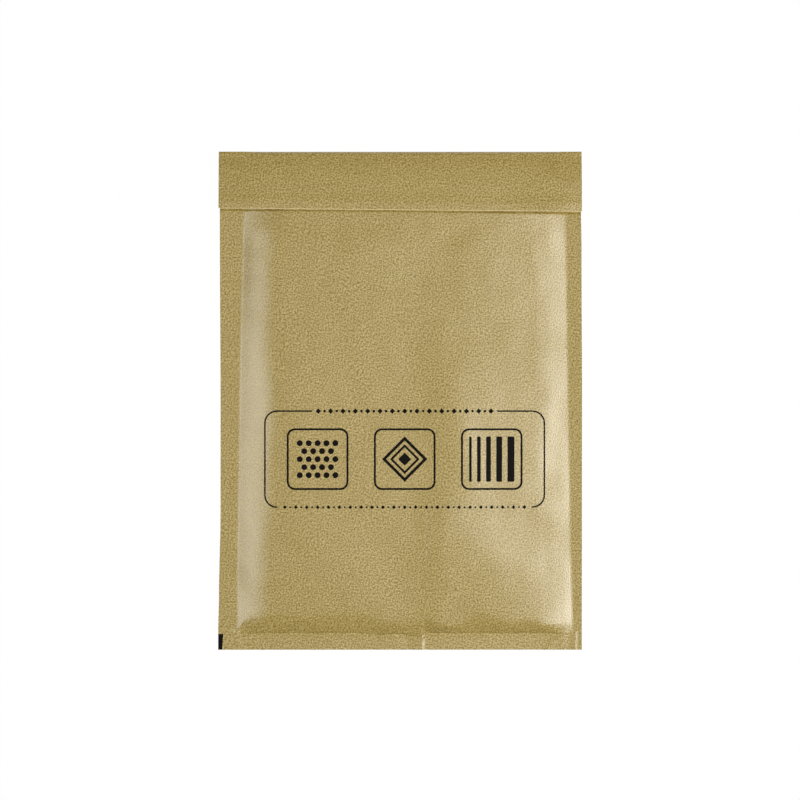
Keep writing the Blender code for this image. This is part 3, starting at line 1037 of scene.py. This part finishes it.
@dataclass
class KraftCover:
    """The kraft paper cover: a glued pouch whose back sheet runs on as the folded flap."""

    form: EnvelopeForm
    grid: CoverGrid
    paper: KraftPaper = KraftPaper()
    # The cut edge's finish is paler than the paper, a painted highlight of the edge catching the light
    cut: PlainFinish = CUT_EDGE_PAINTED_HIGHLIGHT
    fold_segments: int = 10
    flap_pitch: float = 0.0014
    cut_slant: float = 0.00034

    def point(self, column: int, surface: Surface, y: float) -> Vector:
        """A point of the pouch.

        Args:
            column: Its column.
            surface: Its surface.
            y: Its row.

        Returns:
            The point.
        """
        form = self.form
        x = self.grid.x(column, y)
        match surface:
            case Surface.BACK_OUTER:
                height = form.back(x, y)
            case Surface.BACK_INNER:
                height = form.back(x, y) + form.paper
            case Surface.FRONT_INNER:
                height = form.front(x, y) - form.paper
            case Surface.FRONT_OUTER:
                height = form.front(x, y)
        return Vector((x, y, height))

    def fold_point(self, column: int, surface: Surface, angle: float) -> Vector:
        """A point of the sheet's turn at the fold, at an angle round it."""
        form = self.form
        x = self.grid.flap_x(column, form.fold_line)
        ply = form.paper if surface is Surface.BACK_INNER else 0.0
        low = form.back(x, form.fold_start)
        high = form.flap_inner(x, form.fold_start) + form.paper
        y = form.fold_start + (form.fold_run - ply) * math.sin(angle)
        z = (low + high) / 2 - ((high - low) / 2 - ply) * math.cos(angle)
        return Vector((x, y, z))

    def flap_point(self, column: int, surface: Surface, share: float) -> Vector:
        """A point of the flap, at a share of the way from the fold to its free edge."""
        form = self.form
        x = self.grid.flap_x(column, form.fold_line)
        inner = surface is Surface.BACK_INNER
        y = mix(form.fold_start, form.flap_edge(x), share)
        z = form.flap_inner(x, y) + (0.0 if inner else form.paper)
        if share == 1.0 and not inner:
            y += self.cut_slant
        return Vector((x, y, z))

    def build(self) -> Piece:
        """Model the cover and dress it."""
        form = self.form
        mesh = SectionMesh(self.grid.last)
        mesh.pouch(self.grid.parted, self.point, self.grid.rows, form.seam_line)
        ends = mesh.end_faces(form.mouth, (Surface.BACK_OUTER, Surface.BACK_INNER))
        turn = [math.pi * step / self.fold_segments for step in range(self.fold_segments + 1)]
        ends = mesh.extend(ends, self.fold_point, turn)
        reach = form.flap_depth - form.fold_run
        shares = [step / reach for step in spaced(0, reach, self.flap_pitch)]
        ends = mesh.extend(ends, self.flap_point, shares)
        # The flap's free edge takes the pale cut-edge finish, which paints the highlight of the edge
        # catching the light
        for face in ends:
            face.material_index = 1
        piece = add_piece("kraft_cover_paper", mesh.bm, (self.paper.material(), self.cut.material()))
        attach(piece, "root")
        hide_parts("kraft_cover")
        return piece


@dataclass
class BubbleLiner:
    """The pouch of bubble film inside the cover, with its bubbles turned inwards."""

    form: EnvelopeForm
    grid: CoverGrid
    finish: PlainFinish = BUBBLE_FILM
    inset_columns: int = 2
    seal_columns: int = 3
    seal: float = 0.0055
    sheet: float = 0.00025
    opening_run: float = 0.008
    pocket: float = 0.0004
    setback: float = 0.0022
    bubble_pitch: float = 0.0112
    bubble_radius: float = 0.0047
    bubble_margin: float = 0.016
    least_depth: float = 0.001
    bubble_dome: float = 1.35
    bubble_root: float = 0.6
    bubble_segments: tuple[int, int] = (10, 6)
    foot_setback: float = 0.0020
    fine_run: float = 0.01
    dent_room: float = 0.0055
    dent_room_fade: float = 0.0025
    fill: float = 0.3

    def span(self, x: float, y: float) -> Pair:
        """The heights between which the liner lies."""
        form = self.form
        clear = form.paper + form.clearance
        near_flap = ease((self.dent_room - abs(y - form.flap_foot)) / self.dent_room_fade)
        dent = max(form.dent * near_flap - form.dent_fall(x, y), 0.0)
        return form.back(x, y) + clear, form.front(x, y) - clear - dent

    def point(self, column: int, surface: Surface, y: float) -> Vector:
        """A point of the film pouch.

        Args:
            column: Its column, counted from the liner's own first.
            surface: Its surface.
            y: Its row.

        Returns:
            The point.
        """
        first = self.grid.parted[0] + self.inset_columns
        x = self.grid.x(column + first, y)
        low, high = self.span(x, y)
        middle = (low + high) / 2
        inside = min(x - self.form.left_seam(y), self.form.right_seam(y) - x, y - self.form.seam_line)
        apart = ease((inside - self.seal) / self.opening_run)
        half_gap = max((high - low) / 2 - self.sheet, 0.0) * apart
        height = {
            Surface.BACK_OUTER: low,
            Surface.BACK_INNER: middle - half_gap,
            Surface.FRONT_INNER: middle + half_gap,
            Surface.FRONT_OUTER: high,
        }[surface]
        return Vector((x, y, height))

    def bubble(self, bm: Mesh, x: float, y: float, upper: bool) -> None:
        """Add one bubble, a squat dome that rises from its sheet towards the other.

        Args:
            bm: The mesh of its row.
            x: Place across.
            y: Place along.
            upper: Whether it hangs from the front sheet.
        """
        reach = self.bubble_radius
        steps = (-reach, 0.0, reach)
        spans = [self.span(x + across, y + up) for across in steps for up in steps]
        low, high = max(span[0] for span in spans), min(span[1] for span in spans)
        depth = (high - low) / 2 - self.sheet - self.pocket / 2
        if depth < self.least_depth:
            return
        base = high - self.sheet if upper else low + self.sheet
        towards = -1 if upper else 1
        size = Matrix.Diagonal((reach, reach, self.bubble_dome * depth, 1.0))
        around, up = self.bubble_segments
        ball = bmesh.ops.create_uvsphere(bm, u_segments=around, v_segments=up, radius=1.0, matrix=size)
        made = ball["verts"]
        for vert in made:
            vert.co.z = min(max(vert.co.z, -self.bubble_root * self.sheet), depth)
        place = Matrix.Translation((x, y, base)) @ Matrix.Diagonal((1.0, 1.0, towards, 1.0))
        bmesh.ops.transform(bm, matrix=place, verts=made)

    def add_bubbles(self, bm: Mesh, low: float, high: float) -> None:
        """Add staggered rows of bubbles to both sheets, each row in a small mesh of its own first.

        Args:
            bm: The liner's mesh.
            low: Y of the first row.
            high: Y that the last row doesn't pass.
        """
        row_pitch = self.bubble_pitch * math.sqrt(3) / 2
        for row in range(int((high - low) / row_pitch) + 1):
            y = low + row * row_pitch
            left = self.form.left_seam(y) + self.bubble_margin
            right = self.form.right_seam(y) - self.bubble_margin
            stagger = (row % 2) / 2
            count = int((right - left) / self.bubble_pitch - stagger) + 1
            line = bmesh.new()
            for column in range(count):
                x = left + (column + stagger) * self.bubble_pitch
                self.bubble(line, x, y, True)
                self.bubble(line, x, y, False)
            mesh = bpy.data.meshes.new("bubble_row")
            line.to_mesh(mesh)
            line.free()
            bm.from_mesh(mesh)
            bpy.data.meshes.remove(mesh)

    def build(self) -> Piece:
        form, grid = self.form, self.grid
        columns = grid.parted[1] - grid.parted[0] - 2 * self.inset_columns
        mesh = SectionMesh(columns)
        closed_at = min(row for row in grid.rows if row >= form.seam_line + self.seal)
        end, foot = form.mouth - self.setback, form.seam_line + self.foot_setback
        rows = [end, *(row for row in grid.rows if foot <= row < end)]
        thin = [row for i, row in enumerate(rows) if row <= closed_at + self.fine_run or i % 2 == 0]
        mesh.pouch((self.seal_columns, columns - self.seal_columns), self.point, thin, closed_at)
        self.add_bubbles(mesh.bm, form.seam_line + self.bubble_margin, end - self.bubble_radius)
        piece = add_piece("bubble_liner_film", mesh.bm, (self.finish.material(),))
        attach(piece, "root")
        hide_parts("bubble_liner")
        return piece


@dataclass(frozen=True)
class Strip:
    """A flat strip under the flap, measured from the flap's free edge."""

    name: str
    node: str
    offset: float
    width: float
    drop: float
    thickness: float


@dataclass
class SelfSealStrips:
    """The adhesive band and the release paper under the flap."""

    form: EnvelopeForm
    adhesive: MottledFinish = AMBER_ADHESIVE
    release: MottledFinish = RELEASE_PAPER
    adhesive_strip: Strip = Strip("adhesive_band", "adhesive_strip", 0.008, 0.012, 0.0002, 0.0001)
    release_strip: Strip = Strip("release_paper_band", "release_strip", 0.0045, 0.019, 0.0005, 0.00008)
    end_margin: float = 0.019
    columns: int = 60
    pitch: float = 0.002

    def build_strip(self, strip: Strip, material: Material) -> Piece:
        """Model one strip along the flap.

        Args:
            strip: The strip's sizes.
            material: Its finish.

        Returns:
            The finished strip.
        """
        form = self.form

        def place(column: int, surface: Surface, step: float) -> Vector:
            """A point of the strip, at a distance from the flap's free edge."""
            x = (form.width / 2 - self.end_margin) * (2 * column / self.columns - 1)
            y = mix(form.flap_edge(x), form.fold_start, step / (form.flap_depth - form.fold_run))
            under = strip.drop + (strip.thickness if surface is Surface.BACK_OUTER else 0.0)
            return Vector((x, y, form.flap_inner(x, y) - under))

        mesh = SectionMesh(self.columns)
        mesh.start(1)
        mesh.move(mesh.bm.verts, place, strip.offset)
        mesh.extend(mesh.bm.faces[:], place, spaced(strip.offset, strip.offset + strip.width, self.pitch))
        piece = add_piece(strip.name, mesh.bm, (material,))
        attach(piece, "root")
        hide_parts(strip.node)
        return piece

    def build_adhesive(self) -> Piece:
        """The adhesive band."""
        return self.build_strip(self.adhesive_strip, self.adhesive.material())

    def build_release(self) -> Piece:
        """The release paper that covers the adhesive."""
        return self.build_strip(self.release_strip, self.release.material())


@dataclass
class FrontPrint:
    """A ruled frame with three boxed ornaments, printed across the front, and the press's register mark."""

    form: EnvelopeForm
    ink: MottledFinish = BLACK_INK
    centre: Pair = (0.0025, -0.0322)
    size: Pair = (0.155, 0.0538)
    line: float = 0.00085
    corner: float = 0.0070
    picture_size: float = 0.034
    picture_pitch: float = 0.048
    picture_corner: float = 0.0045
    picture_line: float = 0.0011
    mark_size: Pair = (0.0022, 0.0087)
    mark_slant: float = 0.0006
    corner_segments: int = 6
    dot_pitch: float = 0.0049
    dot_rows: int = 5
    dot_row_pitch: float = 0.9
    dot_radius: float = 0.00165
    dot_segments: int = 20
    lozenges: tuple[Pair, ...] = ((0.0125, 0.0016), (0.0082, 0.0012))
    lozenge_core: float = 0.0036
    bar_count: int = 5
    bar_width: float = 0.0014
    bar_growth: float = 0.0006
    bar_gap: float = 0.0030
    bar_height: float = 0.025
    bar_corner: float = 0.0006
    top_gap: float = 0.051
    bottom_gap: float = 0.070
    row_margin: float = 0.002
    row_dot_share: float = 0.5
    row_dot_segments: int = 12
    top_row: Pair = (0.0034, 0.0015)
    bottom_row: Pair = (0.0030, 0.0011)
    cut_pitch: float = 0.0025
    above: float = 0.00004
    sunk: float = 0.00003

    def plate(self, bm: Mesh, centre: Pair, size: Pair, corner: float = 0.0) -> Faces:
        """A flat rectangle, with rounded corners where a radius is given."""
        place = Matrix.Translation((*centre, 0.0)) @ Matrix.Diagonal((*size, 1.0, 1.0))
        before = set(bm.faces)
        made = bmesh.ops.create_grid(bm, x_segments=1, y_segments=1, size=0.5, matrix=place)
        if corner:
            rounding = {"segments": self.corner_segments, "profile": 0.5, "material": -1}
            bmesh.ops.bevel(bm, geom=made["verts"], offset=corner, affect="VERTICES", **rounding)
        return [face for face in bm.faces if face not in before]

    def ring(self, bm: Mesh, centre: Pair, size: Pair, corner: float, line: float) -> None:
        """A ruled outline with rounded corners."""
        self.hollow(bm, self.plate(bm, centre, size, corner), line)

    def hollow(self, bm: Mesh, faces: Faces, line: float) -> None:
        """Leave only a line of some faces, along their edge."""
        bmesh.ops.inset_region(bm, faces=faces, thickness=line, use_even_offset=True, use_boundary=True)
        bmesh.ops.delete(bm, geom=faces, context="FACES")

    def blot(self, bm: Mesh, x: float, y: float, radius: float, segments: int) -> None:
        """A disc, or a lozenge where it has four segments."""
        place = Matrix.Translation((x, y, 0.0))
        bmesh.ops.create_circle(bm, cap_ends=True, segments=segments, radius=radius, matrix=place)

    def dotted_box(self, bm: Mesh, x: float, y: float) -> None:
        """Round dots in staggered rows, like bubbles."""
        pitch, half = self.dot_pitch, self.dot_rows // 2
        for row in range(-half, half + 1):
            count = self.dot_rows if row % 2 == 0 else self.dot_rows - 1
            up = row * pitch * self.dot_row_pitch
            for step in range(count):
                across = (step - (count - 1) / 2) * pitch
                self.blot(bm, x + across, y + up, self.dot_radius, self.dot_segments)

    def nested_box(self, bm: Mesh, x: float, y: float) -> None:
        """Lozenges one inside another."""
        for radius, line in self.lozenges:
            place = Matrix.Translation((x, y, 0.0))
            circle = {"cap_ends": True, "segments": LOZENGE_SIDES, "radius": radius, "matrix": place}
            verts = bmesh.ops.create_circle(bm, **circle)["verts"]
            faces = dict.fromkeys(face for vert in verts for face in vert.link_faces)
            self.hollow(bm, list(faces), line)
        self.blot(bm, x, y, self.lozenge_core, LOZENGE_SIDES)

    def barred_box(self, bm: Mesh, x: float, y: float) -> None:
        """Upright bars of growing width."""
        left = x - self.bar_height / 2
        for step in range(self.bar_count):
            width = self.bar_width + self.bar_growth * step
            self.plate(bm, (left + width / 2, y), (width, self.bar_height), self.bar_corner)
            left += width + self.bar_gap

    def ornament_row(self, bm: Mesh, y: float, half: float, pitch: float, radius: float) -> None:
        """A row of lozenges and dots by turns."""
        count = int(half / pitch)
        for step in range(-count, count + 1):
            x = self.centre[0] + step * pitch
            if step % 2:
                self.blot(bm, x, y, self.row_dot_share * radius, self.row_dot_segments)
            else:
                self.blot(bm, x, y, radius, LOZENGE_SIDES)

    def clear_gap(self, bm: Mesh, y: float, half: float) -> None:
        """Take the frame's line away over a stretch about its middle.

        Args:
            bm: The print's mesh, with nothing but the frame in it.
            y: Y of the line.
            half: Half the stretch.
        """
        for side in (-half, half):
            geom = bm.verts[:] + bm.edges[:] + bm.faces[:]
            cut = Vector((self.centre[0] + side, y, 0.0))
            bmesh.ops.bisect_plane(bm, geom=geom, dist=WELD, plane_co=cut, plane_no=Vector((1, 0, 0)))
        gone = []
        for face in bm.faces:
            middle = face.calc_center_median()
            if abs(middle.x - self.centre[0]) < half and abs(middle.y - y) < 4 * self.line:
                gone.append(face)
        bmesh.ops.delete(bm, geom=gone, context="FACES")

    def lay(self, bm: Mesh, name: str) -> Piece:
        """Cut a flat design into short stretches, lay it on the front and give it a thickness.

        Args:
            bm: The flat design.
            name: The piece's name.

        Returns:
            The finished piece.
        """
        low = Vector((min(v.co.x for v in bm.verts), min(v.co.y for v in bm.verts)))
        high = Vector((max(v.co.x for v in bm.verts), max(v.co.y for v in bm.verts)))
        for axis in (0, 1):
            normal = Vector((1 - axis, axis, 0))
            for cut in spaced(low[axis], high[axis], self.cut_pitch)[:-1]:
                geom = bm.verts[:] + bm.edges[:] + bm.faces[:]
                bmesh.ops.bisect_plane(bm, geom=geom, dist=WELD, plane_co=normal * cut, plane_no=normal)
        top = list(bm.faces)
        made = bmesh.ops.extrude_face_region(bm, geom=top + bm.edges[:])["geom"]
        upper = {item for item in made if isinstance(item, bmesh.types.BMVert)}
        for vert in bm.verts:
            offset = self.above if vert in upper else -self.sunk
            vert.co.z = self.form.front(vert.co.x, vert.co.y) + offset
        piece = add_piece(name, bm, (self.ink.material(),))
        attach(piece, "root")
        return piece

    def build_frame(self) -> Piece:
        """The ruled frame, with a row of ornament in its top and bottom lines."""
        bm = bmesh.new()
        self.ring(bm, self.centre, self.size, self.corner, self.line)
        top = self.centre[1] + self.size[1] / 2 - self.line / 2
        bottom = self.centre[1] - self.size[1] / 2 + self.line / 2
        self.clear_gap(bm, top, self.top_gap)
        self.clear_gap(bm, bottom, self.bottom_gap)
        self.ornament_row(bm, top, self.top_gap - self.row_margin, *self.top_row)
        self.ornament_row(bm, bottom, self.bottom_gap - self.row_margin, *self.bottom_row)
        return self.lay(bm, "printed_frame")

    def build_pictures(self) -> Piece:
        """The three boxed ornaments."""
        bm = bmesh.new()
        motifs = (self.dotted_box, self.nested_box, self.barred_box)
        for step, motif in zip((-1, 0, 1), motifs, strict=True):
            x = self.centre[0] + step * self.picture_pitch
            box = (self.picture_size, self.picture_size)
            self.ring(bm, (x, self.centre[1]), box, self.picture_corner, self.picture_line)
            motif(bm, x, self.centre[1])
        return self.lay(bm, "printed_ornaments")

    def build_mark(self) -> Piece:
        """The register mark, which runs off the bottom left corner."""
        bm = bmesh.new()
        form = self.form
        width, height = self.mark_size
        left = form.left_edge(form.bottom_edge)
        centre = (left + width / 2, form.bottom_edge + height / 2)
        self.plate(bm, centre, (width, height))
        for vert in bm.verts:
            if vert.co.x > centre[0] and vert.co.y > centre[1]:
                vert.co.x += self.mark_slant
        return self.lay(bm, "register_mark")


# Studio


@dataclass(frozen=True)
class Softbox:
    """A rectangular softbox aimed at the envelope."""

    name: str
    place: tuple[float, float, float]
    size: Pair
    power: float
    colour: tuple[float, float, float] = (1.0, 0.985, 0.94)

    def build(self) -> None:
        """Hang the softbox."""
        lamp = bpy.data.lights.new(self.name, "AREA")
        lamp.shape = "RECTANGLE"
        lamp.size, lamp.size_y = self.size
        lamp.energy = self.power
        lamp.color = self.colour
        light = bpy.data.objects.new(self.name, lamp)
        light.location = self.place
        light.rotation_euler = (-Vector(self.place)).to_track_quat("-Z", "Y").to_euler()
        bpy.context.scene.collection.objects.link(light)


@dataclass
class Studio:
    """The pale floor, the soft light and the camera straight above."""

    floor: WhiteFloor = WhiteFloor()
    floor_size: float = 6.0
    floor_drop: float = 0.0001
    boxes: tuple[Softbox, ...] = (
        Softbox("softbox_right", (1.02, -0.08, 1.40), (0.50, 0.85), 25.0),
        Softbox("softbox_left", (-1.12, -0.08, 1.33), (0.50, 0.85), 8.2),
    )
    world_strength: float = 0.125
    camera_height: float = 2.5
    frame_width: float = 0.4413
    centre: Pair = (-0.0001, 0.0004)
    sensor: float = 36.0
    surface: float = 0.006
    clip_end: float = 20.0

    def build(self) -> None:
        """Set up the whole studio."""
        bm = bmesh.new()
        bmesh.ops.create_grid(bm, x_segments=1, y_segments=1, size=self.floor_size / 2)
        floor = add_piece("studio_floor", bm, (self.floor.material(),))
        for vert in floor.data.vertices:
            vert.co.z = -self.floor_drop
        for box in self.boxes:
            box.build()
        self.light_world()
        self.place_camera()
        bpy.context.scene.view_settings.view_transform = "Standard"

    def light_world(self) -> None:
        """A dim white room, white to the camera."""
        world = bpy.data.worlds.new("white_room")
        world.use_nodes = True
        tree = world.node_tree
        background = tree.nodes["Background"]
        background.inputs["Color"].default_value = (1.0, 1.0, 1.0, 1.0)
        rays = tree.nodes.new("ShaderNodeLightPath")
        strength = tree.nodes.new("ShaderNodeMapRange")
        strength.inputs["To Min"].default_value = self.world_strength
        strength.inputs["To Max"].default_value = 1.0
        tree.links.new(rays.outputs["Is Camera Ray"], strength.inputs["Value"])
        tree.links.new(strength.outputs["Result"], background.inputs["Strength"])
        bpy.context.scene.world = world

    def place_camera(self) -> None:
        """A long lens straight above the envelope, with the fold at the top of the picture."""
        lens = bpy.data.cameras.new("camera")
        lens.sensor_width = self.sensor
        lens.lens = self.sensor * (self.camera_height - self.surface) / self.frame_width
        lens.clip_end = self.clip_end
        camera = bpy.data.objects.new("camera", lens)
        camera.location = (*self.centre, self.camera_height)
        bpy.context.scene.collection.objects.link(camera)
        bpy.context.scene.camera = camera


def main() -> None:
    """Build every piece in order and report each one."""
    logging.basicConfig(level=logging.INFO, format="%(message)s")
    form = EnvelopeForm()
    grid = CoverGrid(form)
    front_print = FrontPrint(form)
    Studio().build()
    strips = SelfSealStrips(form)
    builds = (
        KraftCover(form, grid).build,
        BubbleLiner(form, grid).build,
        strips.build_adhesive,
        strips.build_release,
        front_print.build_frame,
        front_print.build_pictures,
        front_print.build_mark,
    )
    for build in builds:
        piece = build()
        log.info("%s: %d faces", piece.name, len(piece.data.polygons))


if __name__ == "__main__":
    main()
